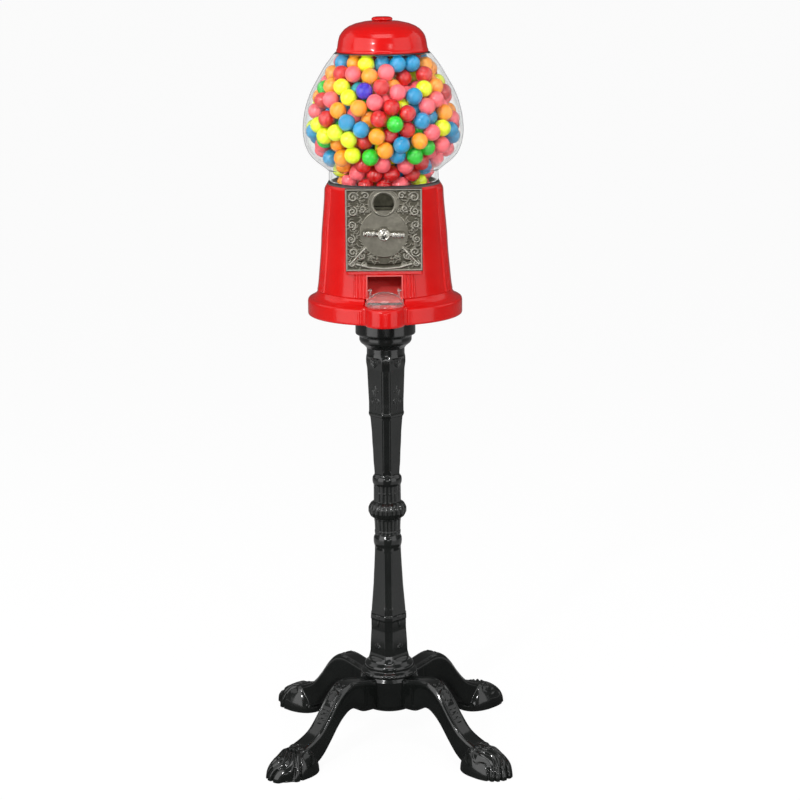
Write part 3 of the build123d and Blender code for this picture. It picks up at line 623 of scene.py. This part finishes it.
def plate_height(x, z):
    """Relief of the plate over its ground, in millimetres."""
    from_knob, from_window = np.hypot(x, z - KNOB_Z), np.hypot(x, z - WINDOW_Z)
    carved = stroke_relief(x, z, plate_strokes())
    plain = np.minimum(smoothstep(FIELD_R - 0.5, FIELD_R + 1.5, from_knob), smoothstep(17, 19, from_window))
    plain = np.minimum(plain, smoothstep(14, 17,
                                         np.abs(x) + np.clip(698 - z, 0, 99) + np.clip(z - 716, 0, 99)))
    height = 0.35 + carved * plain + 0.55 * (1 - plain)
    rings = [arc(0, KNOB_Z, FIELD_R, 0, TAU, 1.2, 1.0, 90), arc(0, WINDOW_Z, 14.2, 0, TAU, 1.3, 1.25, 70),
             arc(0, WINDOW_Z, 18.6, -0.25, math.pi + 0.25, 0.9, 1.05, 50),
             arc(0, KNOB_Z, 10.5, 0, TAU, 0.8, 0.95, 50),
             ([(-33, 645), (-18, 641), (0, 639.6), (18, 641), (33, 645)], 1.6, 1.7)]
    height = np.maximum(height, stroke_relief(x, z, rings))
    height -= 0.5 * stroke_relief(x, z,
                                  [([(-31, 649), (-17, 645), (0, 643.6), (17, 645), (31, 649)], 1.3, 1.0)])
    edge = np.minimum(PLATE_HALF - np.abs(x), np.minimum(z - PLATE_LOW, PLATE_HIGH - z))
    frame_band = np.where(edge < 2.6, 1.5 * np.sqrt(np.clip(1 - ((edge - 1.3) / 1.3) ** 2, 0, 1)), 0)
    return np.maximum(height, frame_band) * smoothstep(-0.2, 0.5, edge)


def build_plate():
    columns, rows = 236, 254
    x, z = np.meshgrid(np.linspace(-PLATE_HALF, PLATE_HALF, columns),
                       np.linspace(PLATE_LOW, PLATE_HIGH, rows))
    reach = 0.3
    inside = np.zeros_like(x, bool)
    for centre, radius in ((WINDOW_Z, WINDOW_R), (KNOB_Z, SHAFT_R)):
        distance = np.hypot(x, z - centre)
        near = np.abs(distance - radius) < reach
        scale = np.where(near, radius / np.maximum(distance, 1e-6), 1)
        x, z = x * scale, centre + (z - centre) * scale
        hole = (distance < radius - reach) & ((centre != WINDOW_Z) | (z > SILL_Z))
        inside |= hole
    sill = (np.abs(z - SILL_Z) < 0.2) & (np.abs(x) < WINDOW_R)
    z = np.where(sill, SILL_Z, z)
    inside &= ~sill
    height = plate_height(x, z)
    holder = (np.hypot(x, z - WINDOW_Z) < WINDOW_R) & (z <= SILL_Z + 0.01)
    height = np.where(holder, 0.9, height)
    verts = np.stack([x, -(PLATE_BACK + 2.0 + height), z], axis=-1).reshape(-1, 3)
    quads = grid_quads(rows, columns)
    quads = quads[~inside.ravel()[quads].any(axis=1)]
    count = len(verts)
    back = verts.copy()
    back[:, 1] = -PLATE_BACK
    edges = np.concatenate([quads[:, [k, (k + 1) % 4]] for k in range(4)])
    keys = np.sort(edges, axis=1)
    _, first, uses = np.unique(keys, axis=0, return_index=True, return_counts=True)
    rim = edges[first[uses == 1]]
    walls = np.stack([rim[:, 1], rim[:, 0], rim[:, 0] + count, rim[:, 1] + count], axis=1)
    faces = np.vstack([quads, quads[:, ::-1] + count, walls])
    used, compact = np.unique(faces, return_inverse=True)
    points = np.vstack([verts, back])[used]
    tone = np.concatenate([np.clip(height / 1.9, 0, 1).ravel(), np.zeros(count)])[used]
    plate = make_object("face_plate_casting", points, compact.reshape(faces.shape), PEWTER, "machine",
                        slot="pewter",
                        replaces="face_plate")
    plate.data.attributes.new("relief", "FLOAT", "POINT").data.foreach_set("value", tone.astype(np.float32))


build_plate()


def build_knob():
    """A hub turned about the shaft, with a thumb bar that swells three times on each side."""
    profile = soften(sample_line([(7.4, 84.4), (7.7, 86), (7.7, 94.2), (7.2, 95.6), (6.2, 96), (5.6, 95.4),
                                  (4.8, 95.6), (3.4, 96.4), (1.6, 96.9), (0.02, 97)], 0.35), 1)
    angle = np.linspace(0, TAU, 96, endpoint=False)
    r, t = np.meshgrid(profile[:, 0], angle, indexing="ij")
    y = np.repeat(profile[:, 1][:, None], 96, axis=1)
    hub = np.stack([r * np.cos(t), -y, KNOB_Z + r * np.sin(t)], axis=-1).reshape(-1, 3)
    hub_faces = grid_quads(len(profile), 96, False, True).tolist() + [list(range(96))]
    s = np.linspace(-1, 1, 150)
    along = 26.6 * s
    swell = sum(np.exp(-((np.abs(along) - x) / 2.0) ** 2) for x in (12.5, 18.5, 24.2))
    ends = np.sqrt(np.clip(1 - np.abs(s) ** 14, 0, 1))
    half = (2.7 + 1.3 * swell) * ends + 0.02
    a = np.linspace(0, TAU, 48, endpoint=False)
    u, v = np.sign(np.cos(a)) * np.abs(np.cos(a)) ** 0.6, np.sign(np.sin(a)) * np.abs(np.sin(a)) ** 0.6
    tilt = math.radians(-3)
    depth = (3.7 + 0.7 * swell) * ends + 0.02
    bx = along[:, None] * np.ones(48)
    bz = half[:, None] * v
    bar = np.stack([bx * math.cos(tilt) - bz * math.sin(tilt), -90.5 + depth[:, None] * u,
                    KNOB_Z + bx * math.sin(tilt) + bz * math.cos(tilt)], axis=-1).reshape(-1, 3)
    offset = len(hub)
    bar_faces = grid_quads(150, 48, False, True, offset).tolist()
    bar_faces += [list(range(offset, offset + 48)), list(range(offset + 149 * 48, offset + 150 * 48))]
    knob = make_object("knob_casting", np.vstack([hub, bar]), hub_faces + bar_faces, BRIGHT, "knob",
                       slot="knob_metal", replaces="knob_handle")
    weld(knob)


build_knob()

# ------------------------------------------------------------------ globe, lid and gumballs
GLASS_WALL = 2.5
GLOBE_SIDE = catmull([(68.5, 739), (68.5, 746), (68.4, 751), (71.7, 754), (76.1, 757.7), (85.4, 765),
                      (92.2, 772.6), (95.9, 780), (98.3, 787.6), (99.9, 802), (98, 821), (94.2, 836),
                      (88.5, 850.5), (80.4, 865), (71.6, 880), (62.5, 892), (59.4, 896)], 220)


def wall_inside(side, thickness):
    """The curve a wall's thickness inside another."""
    along = np.gradient(side, axis=0)
    normal = np.stack([-along[:, 1], along[:, 0]], axis=1) / np.hypot(*along.T)[:, None]
    return side + normal * thickness


GLOBE_INSIDE = wall_inside(GLOBE_SIDE, GLASS_WALL)
GLOBE_INSIDE[:, 1] = np.clip(GLOBE_INSIDE[:, 1], 739, 896)
turned("globe_glass_shell", np.vstack([GLOBE_SIDE, GLOBE_INSIDE[::-1]]), 192, GLASS, "machine", step=1.0,
       rounding=0,
       slot="globe_glass", replaces="globe")

LID_SIDE = [(56.7, 897), (57.2, 898.6), (56.6, 900.4), (56.0, 901), (55.5, 904), (54.6, 910), (52.9, 916.5),
            (50.3, 920.6), (46.6, 924.8), (41, 928.6), (33, 931.8), (21, 934.4), (13, 935), (6.4, 935)]
turned("lid_casting", LID_SIDE, 192, RED, "lid", rounding=2, slot="red_cast", replaces="lid",
       back=[(6.4, 932.4), (13, 932.4), (20.7, 931.8), (32.2, 929.3), (39.6, 926.2), (44.6, 922.6),
             (47.9, 919), (50.3, 915.3), (52.1, 909.4), (52.9, 904), (53.7, 900), (54.2, 897)])
turned("lid_nut_turned", [(5.8, 935.4), (12.6, 935.4), (13, 936), (13, 937.6), (11.4, 939.2), (8, 939.9),
                          (0.02, 940)],
       96, RED, "lid_nut", step=0.4, slot="red_cast", replaces="lid_nut",
       back=[(0.02, 937), (4.06, 937), (4.06, 926), (5.8, 926)])

BALL, HEAP_FILL, SETTLING_ROUNDS = 10.4, 0.63, 320
ROD_R, HEAP_LOW, HEAP_HIGH = 4.3, 720.5, 884.5
HEAP_SIDE = np.vstack([[(48, 711), (62, 741), (63, 748)], GLOBE_INSIDE[GLOBE_INSIDE[:, 1] > 752] - (0.8, 0)])


def pack_gumballs():
    """Centres of balls that push one another apart inside the globe and hopper until they fit."""
    z = np.arange(720.0, 886.0)
    wall = np.interp(np.arange(709.0, 896.0), HEAP_SIDE[:, 1], HEAP_SIDE[:, 0])
    reach = np.full(len(z), 1e9)
    for rise in range(-10, 11):
        at = np.clip(z + rise, 709, 895).astype(int) - 709
        reach = np.minimum(reach, wall[at] - math.sqrt(BALL ** 2 - rise ** 2))
    room = float(np.sum(math.pi * (reach + BALL) ** 2))
    count = int(HEAP_FILL * room / (4 / 3 * math.pi * BALL ** 3))
    rng = np.random.default_rng(11)
    centres = np.empty((0, 3))
    while len(centres) < count:
        trial = rng.uniform((-95, -95, HEAP_LOW), (95, 95, HEAP_HIGH), (2000, 3))
        fits = np.hypot(*trial[:, :2].T) < np.interp(trial[:, 2], z, reach)
        centres = np.vstack([centres, trial[fits]])[:count]
    for _ in range(SETTLING_ROUNDS):
        apart = centres[:, None] - centres[None]
        distance = np.linalg.norm(apart, axis=2) + np.eye(count) * 1e3
        push = np.clip(2 * BALL - distance, 0, None) / np.maximum(distance, 1e-6)
        centres += (apart * push[..., None]).sum(axis=1) * 0.42
        centres[:, 2] = np.clip(centres[:, 2], HEAP_LOW, HEAP_HIGH)
        radial = np.hypot(*centres[:, :2].T)
        limit = np.clip(radial, ROD_R + BALL, np.interp(centres[:, 2], z, reach))
        centres[:, :2] *= (limit / np.maximum(radial, 1e-6))[:, None]
    return centres, rng


def build_gumballs():
    centres, rng = pack_gumballs()
    share = {"red": 16, "pink": 15, "orange": 12, "sky": 13, "yellow": 12, "green": 5, "indigo": 1.5,
             "teal": 2}
    names = list(share)
    weights = np.array([share[name] for name in names])
    colours = rng.choice(len(names), len(centres), p=weights / weights.sum())
    rings, sectors = 14, 24
    polar = np.linspace(0, math.pi, rings + 1)[1:-1]
    turn = np.linspace(0, TAU, sectors, endpoint=False)
    unit = np.stack(np.broadcast_arrays(np.sin(polar)[:, None] * np.cos(turn),
                                        np.sin(polar)[:, None] * np.sin(turn),
                                        np.cos(polar)[:, None]), axis=-1).reshape(-1, 3)
    unit = np.vstack([unit, [(0, 0, 1), (0, 0, -1)]])
    body = grid_quads(rings - 1, sectors, False, True)[:, ::-1].tolist()
    last = (rings - 2) * sectors
    caps = [[k, (k + 1) % sectors, last + sectors] for k in range(sectors)]
    caps += [[last + (k + 1) % sectors, last + k, last + sectors + 1] for k in range(sectors)]
    faces = [[[v + n * len(unit) for v in face] for face in body + caps] for n in range(len(centres))]
    sizes = rng.uniform(0.975, 1.0, (len(centres), 1, 1)) * BALL
    verts = (centres[:, None] + unit[None] * sizes).reshape(-1, 3)
    heap = make_object("gumball_heap", verts, [f for ball in faces for f in ball], CANDIES[names[0]],
                       "machine", slot="gumball_candy", replaces="gumballs")
    for name in names[1:]:
        heap.data.materials.append(CANDIES[name])
    heap.data.polygons.foreach_set("material_index",
                                   np.repeat(colours, len(body) + len(caps)).astype(np.int32))
    weld(heap, 1e-9)


build_gumballs()

# ------------------------------------------------------------------ legs
LEG_TOP = catmull([(35, 91), (52, 94.5), (70, 98), (82, 97.5), (93, 93), (106, 81), (120, 63), (134, 48),
                   (148, 40), (164, 34)], 240)
LEG_UNDER = catmull([(35, 51), (56, 53), (68, 60), (80, 62), (92, 56), (104, 45), (118, 28), (132, 13),
                     (146, 5), (164, 3)], 240)
KNEE, FOOT_X, ANKLE_X = 52.0, 174.0, 132.0
FOOT_LENGTH, FOOT_WIDTH = 37.0, 26.5       # half of each
FOOT_POWER = 2.3                           # 2 is an oval, higher is squarer
TOE_CLEFTS = (-0.38, -0.20, -0.05, 0.10, 0.26, 0.44)


def leg_strokes():
    """Raised edges, the knee's bracket and the leaf below it, as distance across and along the leg."""
    strokes = [([(side * 9.3, 4), (side * 9.3, 122)], 1.0, 1.0) for side in (-1, 1)]
    strokes += [([(-9.3, KNEE - 5), (-5, KNEE - 1), (0, KNEE + 6), (5, KNEE - 1), (9.3, KNEE - 5)], 1.3, 1.5)]
    strokes += [([(0, KNEE + 8), (0, KNEE + 32)], 1.4, 2.0)]
    for side in (-1, 1):
        for k in range(4):
            base = KNEE + 12 + 5 * k
            strokes.append(([(0, base), (side * 3.2, base + 1), (side * (6.6 - k), base + 6)], 1.4, 1.9))
        strokes.append(volute(side * 5, KNEE + 7, 2.6, 1.1, math.pi / 2, side, 1.1, 1.8))
        strokes += [([(0, at), (side * 4, at - 5)], 0.9, 1.0) for at in (96, 103, 110)]
    return strokes


def tube_section(count):
    a = np.linspace(0, TAU, count, endpoint=False)
    return (np.sign(np.cos(a)) * np.abs(np.cos(a)) ** 0.34, np.sign(np.sin(a)) * np.abs(np.sin(a)) ** 0.34)


def build_leg_surface():
    """The leg along +X as closed pieces that overlap, made into one skin."""
    across, up = tube_section(120)
    steps = len(LEG_TOP)
    half_width = np.interp(np.linspace(0, 1, steps), [0, 0.35, 0.6, 0.85, 1], [12.4, 12.5, 12.7, 13.0, 13.6])
    middle, half = (LEG_TOP + LEG_UNDER) / 2, (LEG_TOP - LEG_UNDER) / 2
    length = np.concatenate([[0], np.cumsum(np.hypot(*np.diff(LEG_TOP, axis=0).T))])
    lateral = half_width[:, None] * across
    station = length[:, None] * np.ones(len(across))
    sunk = (np.abs(lateral) < 8.3) * smoothstep(0, 6, station)
    raised = stroke_relief(lateral, station, leg_strokes()) - 0.9 * sunk
    raised = np.where(up > 0.93, raised, 0)
    direction = half / np.hypot(*half.T)[:, None]
    slit = groove((station - 18) / 1.0, 2.2, 0.7) * (np.abs(up) < 0.6) * np.sign(across)
    x = middle[:, :1] + half[:, :1] * up + direction[:, :1] * raised
    z = middle[:, 1:] + half[:, 1:] * up + direction[:, 1:] * raised
    leg = np.stack([x, lateral + slit, z], axis=-1).reshape(-1, 3)
    verts, faces = [leg], grid_quads(steps, len(across), False, True).tolist()
    faces += [list(range(len(across))), list(range((steps - 1) * len(across), steps * len(across)))]

    turn = np.linspace(0, TAU, 200, endpoint=False)
    share = np.linspace(0.01, 1, 70)
    lengthwise, sideways = np.abs(np.cos(turn)) / FOOT_LENGTH, np.abs(np.sin(turn)) / FOOT_WIDTH
    rim = (lengthwise ** FOOT_POWER + sideways ** FOOT_POWER) ** (-1 / FOOT_POWER)
    fx = FOOT_X + share[:, None] * rim * np.cos(turn)
    fy = share[:, None] * rim * np.sin(turn)
    crown = np.interp(fx, [137, 155, 176, 211], [30, 36, 32, 23])
    fz = crown * np.sqrt(np.clip(1 - share[:, None] ** 2.7, 0, 1))
    fan = np.arctan2(fy, fx - ANKLE_X)
    fan = fan + 0.10 * np.sin((fx - 158) / 7)
    cut = sum(np.exp(-(((fan - toe) * (fx - ANKLE_X)) / 1.5) ** 2) for toe in TOE_CLEFTS)
    cut = 3.0 * cut * smoothstep(164, 173, fx)
    knuckle = 1.3 * np.exp(-((np.hypot(fx - ANKLE_X, fy) - 46) / 5) ** 2) * smoothstep(160, 170, fx)
    hair = stroke_relief(fx, fy,
                         [volute(155 + 5 * abs(k) % 9, 4.6 * k, 3.2, 1.2, k, 1 if k > 0 else -1, 1.6, 2.2)
                                  for k in (-3, -2, -1, 0, 1, 2, 3)]
                         + [([(146, 3 * k), (158, 4.4 * k), (166, 4 * k)], 1.5, 1.8)
                             for k in (-3, -2, -1, 1, 2, 3)])
    fz = np.clip(fz - (cut - knuckle) * (fz > 2) + hair * (fz > 6), 0, None)
    shrink = 1 - 0.045 * cut * (share[:, None] > 0.8)
    fx, fy = FOOT_X + (fx - FOOT_X) * shrink, fy * shrink
    foot = np.stack([fx, fy, fz], axis=-1).reshape(-1, 3)
    start = len(leg)
    verts.append(foot)
    faces += grid_quads(70, 200, False, True, start).tolist()
    faces += [list(range(start, start + 200)), list(range(start + 69 * 200, start + 70 * 200))]

    polar = np.linspace(0.02, math.pi - 0.02, 24)
    boss = np.stack([92 + 6.5 * np.sin(polar)[:, None] * np.cos(turn[::5]), 6.5 * np.sin(polar)[:, None]
                     * np.sin(turn[::5]), 58 + 6.5 * np.cos(polar)[:, None] * np.ones(40)],
                    axis=-1).reshape(-1, 3)
    start += len(foot)
    verts.append(boss)
    faces += grid_quads(24, 40, False, True, start).tolist()
    faces += [list(range(start, start + 40)), list(range(start + 23 * 40, start + 24 * 40))]
    mesh = bpy.data.meshes.new("leg")
    mesh.from_pydata((np.vstack(verts) * MM).tolist(), [], faces)
    obj = put("leg", mesh)
    weld(obj)
    skin = obj.modifiers.new("skin", "REMESH")
    skin.mode, skin.voxel_size = "VOXEL", 0.72 * MM
    ease = obj.modifiers.new("ease", "SMOOTH")
    ease.factor, ease.iterations = 0.5, 1
    bpy.context.view_layer.update()
    result = with_modifiers(obj)
    points = np.empty(len(result.vertices) * 3)
    result.vertices.foreach_get("co", points)
    points = points.reshape(-1, 3)
    points[:, 2] = np.where(points[:, 2] < 0.9 * MM, 0, points[:, 2])
    quads = [list(p.vertices) for p in result.polygons]
    bpy.data.objects.remove(obj)
    return points / MM, quads


leg_points, leg_faces = build_leg_surface()
for name, degrees in {"front_left": 225, "front_right": 315, "back_left": 135, "back_right": 45}.items():
    spin = math.radians(degrees)
    x, y, z = leg_points.T
    verts = np.stack([x * math.cos(spin) - y * math.sin(spin), x * math.sin(spin) + y * math.cos(spin), z],
                     axis=1)
    make_object("leg_casting_" + name, verts, leg_faces, BLACK, "machine", slot="black_cast",
                replaces="leg_" + name)

# ------------------------------------------------------------------ pieces kept from the CAD model
FINISHES = {
    # The chute gets the lighter red copy, which is painted light for the inside of the opening.
    BLACK: ("base_hub",), RED_CHUTE_PAINTED_LIGHT: ("chute",), CLEAR_PLASTIC: ("flap",),
            COIN_METAL: ("coin_wheel", "mech_back_plate"),
    DARK_PLASTIC: ("coin_tray",), WHITE_PLASTIC: ("pinion", "gumball_wheel", "crown_ring"),
            GREY_PLASTIC: ("hopper",),
    RUBBER: ("globe_gasket", "lid_gasket"),
    STEEL: ("leg_bolts", "tie_rod", "tie_rod_washers", "tie_rod_nuts", "head_bolts", "body_screws",
            "center_rod",
            "rod_washer", "rod_nut", "flap_pins", "mech_screws", "knob_shaft", "ratchet_wheel",
            "pawl", "pawl_pin", "shaft_nut", "drop_shield")}
for material, names in FINISHES.items():
    for name in names:
        node = NODES[name]
        if node.material_slots:
            for place in node.material_slots:
                place.material = material
        else:
            node.data.materials.append(material)
        edge = node.modifiers.new("edge", "BEVEL")
        edge.width, edge.segments = 0.25 * MM, 2
        edge.limit_method, edge.angle_limit = "ANGLE", math.radians(40)

# ------------------------------------------------------------------ stage, lamps and camera
def straight_sight(tree):
    """1 where the camera looks straight or through a glass wall, 0 for light that lands on a surface or
    mirrors in it. A ray that has only bounced about inside one glass wall counts as looking through it."""
    ray = add_node(tree, "ShaderNodeLightPath").outputs
    within_one_wall = math_node(tree, "LESS_THAN", ray["Transmission Depth"], 3.5)
    bounces = math_node(tree, "SUBTRACT", ray["Glossy Depth"],
                        math_node(tree, "MULTIPLY", within_one_wall, 100))
    unlit = math_node(tree, "LESS_THAN", ray["Diffuse Depth"], 0.5)
    unmirrored = math_node(tree, "MULTIPLY", unlit, math_node(tree, "LESS_THAN", bounces, 0.5))
    through = math_node(tree, "MULTIPLY", ray["Is Transmission Ray"], unmirrored)
    return math_node(tree, "MAXIMUM", ray["Is Camera Ray"], through)


floor_mesh = bpy.data.meshes.new("floor")
floor_mesh.from_pydata([(-30, -30, 0), (30, -30, 0), (30, 30, 0), (-30, 30, 0)], [], [(0, 1, 2, 3)])
floor = put("floor", floor_mesh)
floor_material, floor_tree, floor_shader = new_material("floor_paper", (0.55, 0.55, 0.55), 0.9)
paper = add_node(floor_tree, "ShaderNodeEmission")
paper.inputs["Color"].default_value, paper.inputs["Strength"].default_value = (1, 1, 1, 1), 1.12
shown = mix_shaders(floor_tree, math_node(floor_tree, "MULTIPLY", straight_sight(floor_tree), 0.84),
                    floor_shader.outputs["BSDF"], paper.outputs["Emission"])
floor_tree.links.new(shown, floor_tree.nodes["Material Output"].inputs["Surface"])
floor.data.materials.append(floor_material)
floor.location.z = -0.0002

# A dark cloth in front that only reflections see. It gives the black column its dark middle.
NEAR_FLOOR = 0.5
cloth_mesh = bpy.data.meshes.new("dark_cloth")
cloth_mesh.from_pydata([(0, -0.06, 0.0006), (-2.0, -3.2, 0.0006), (2.0, -3.2, 0.0006)]
                        + [(NEAR_FLOOR * math.cos(k * TAU / 48), NEAR_FLOOR * math.sin(k * TAU / 48), 0.0003)
                           for k in range(48)], [], [(0, 1, 2), list(range(3, 51))])
cloth = put("dark_cloth", cloth_mesh)
cloth_material, _, _ = new_material("dark_cloth", (0.05, 0.05, 0.05), 0.95)
cloth.data.materials.append(cloth_material)
cloth.visible_camera = cloth.visible_diffuse = cloth.visible_shadow = cloth.visible_transmission = False

world = bpy.data.worlds.new("studio")
world.use_nodes = True
world_tree = world.node_tree
backdrop = world_tree.nodes["Background"]
room, dim = (add_node(world_tree, "ShaderNodeBackground") for _ in range(2))
for light, strength in ((backdrop, 0.97), (room, 0.25), (dim, 0.09)):
    light.inputs["Color"].default_value = (1, 1, 1, 1)
    light.inputs["Strength"].default_value = strength
ray = add_node(world_tree, "ShaderNodeLightPath")
lit = mix_shaders(world_tree, ray.outputs["Is Glossy Ray"], room.outputs["Background"],
                  dim.outputs["Background"])
final = mix_shaders(world_tree, straight_sight(world_tree), lit, backdrop.outputs["Background"])
world_tree.links.new(final, world_tree.nodes["World Output"].inputs["Surface"])
scene.world = world


def softbox(name, place, aim, width, height, watts):
    data = bpy.data.lights.new(name, "AREA")
    data.shape, data.size, data.size_y, data.energy = "RECTANGLE", width, height, watts
    lamp = put(name, data)
    lamp.location = place
    lamp.rotation_euler = (Vector(aim) - Vector(place)).to_track_quat("-Z", "Y").to_euler()


softbox("left_box", (-1.7, -1.3, 1.1), (0, 0, 0.55), 2.0, 2.3, 23)
softbox("right_box", (1.7, -1.2, 1.1), (0, 0, 0.55), 1.7, 2.3, 13)
softbox("top_box", (0, -0.9, 2.3), (0, 0, 0.6), 1.2, 0.8, 8)
softbox("left_rim", (-1.5, 0.4, 1.45), (0, 0, 0.1), 1.2, 1.2, 3)
softbox("right_rim", (1.5, 0.4, 1.45), (0, 0, 0.1), 1.2, 1.2, 3)
softbox("low_front", (0.2, -2.95, 0.45), (0, 0, 0.7), 0.9, 0.6, 5)
softbox("left_spark", (-1.0, -2.2, 1.75), (0, 0, 0.83), 0.12, 0.12, 14)
softbox("right_spark", (0.9, -2.3, 1.3), (0, 0, 0.83), 0.10, 0.10, 7)

camera_data = bpy.data.cameras.new("camera")
camera_data.lens, camera_data.sensor_width = 96.75, 36.0
camera = put("camera", camera_data)
camera.matrix_world = (Matrix.Translation((0.0176, -2.681, 1.056))
                       @ Matrix.Rotation(math.radians(90 - 12.6), 4, "X")
                       @ Matrix.Rotation(math.radians(-0.56), 4, "Z"))
scene.camera = camera
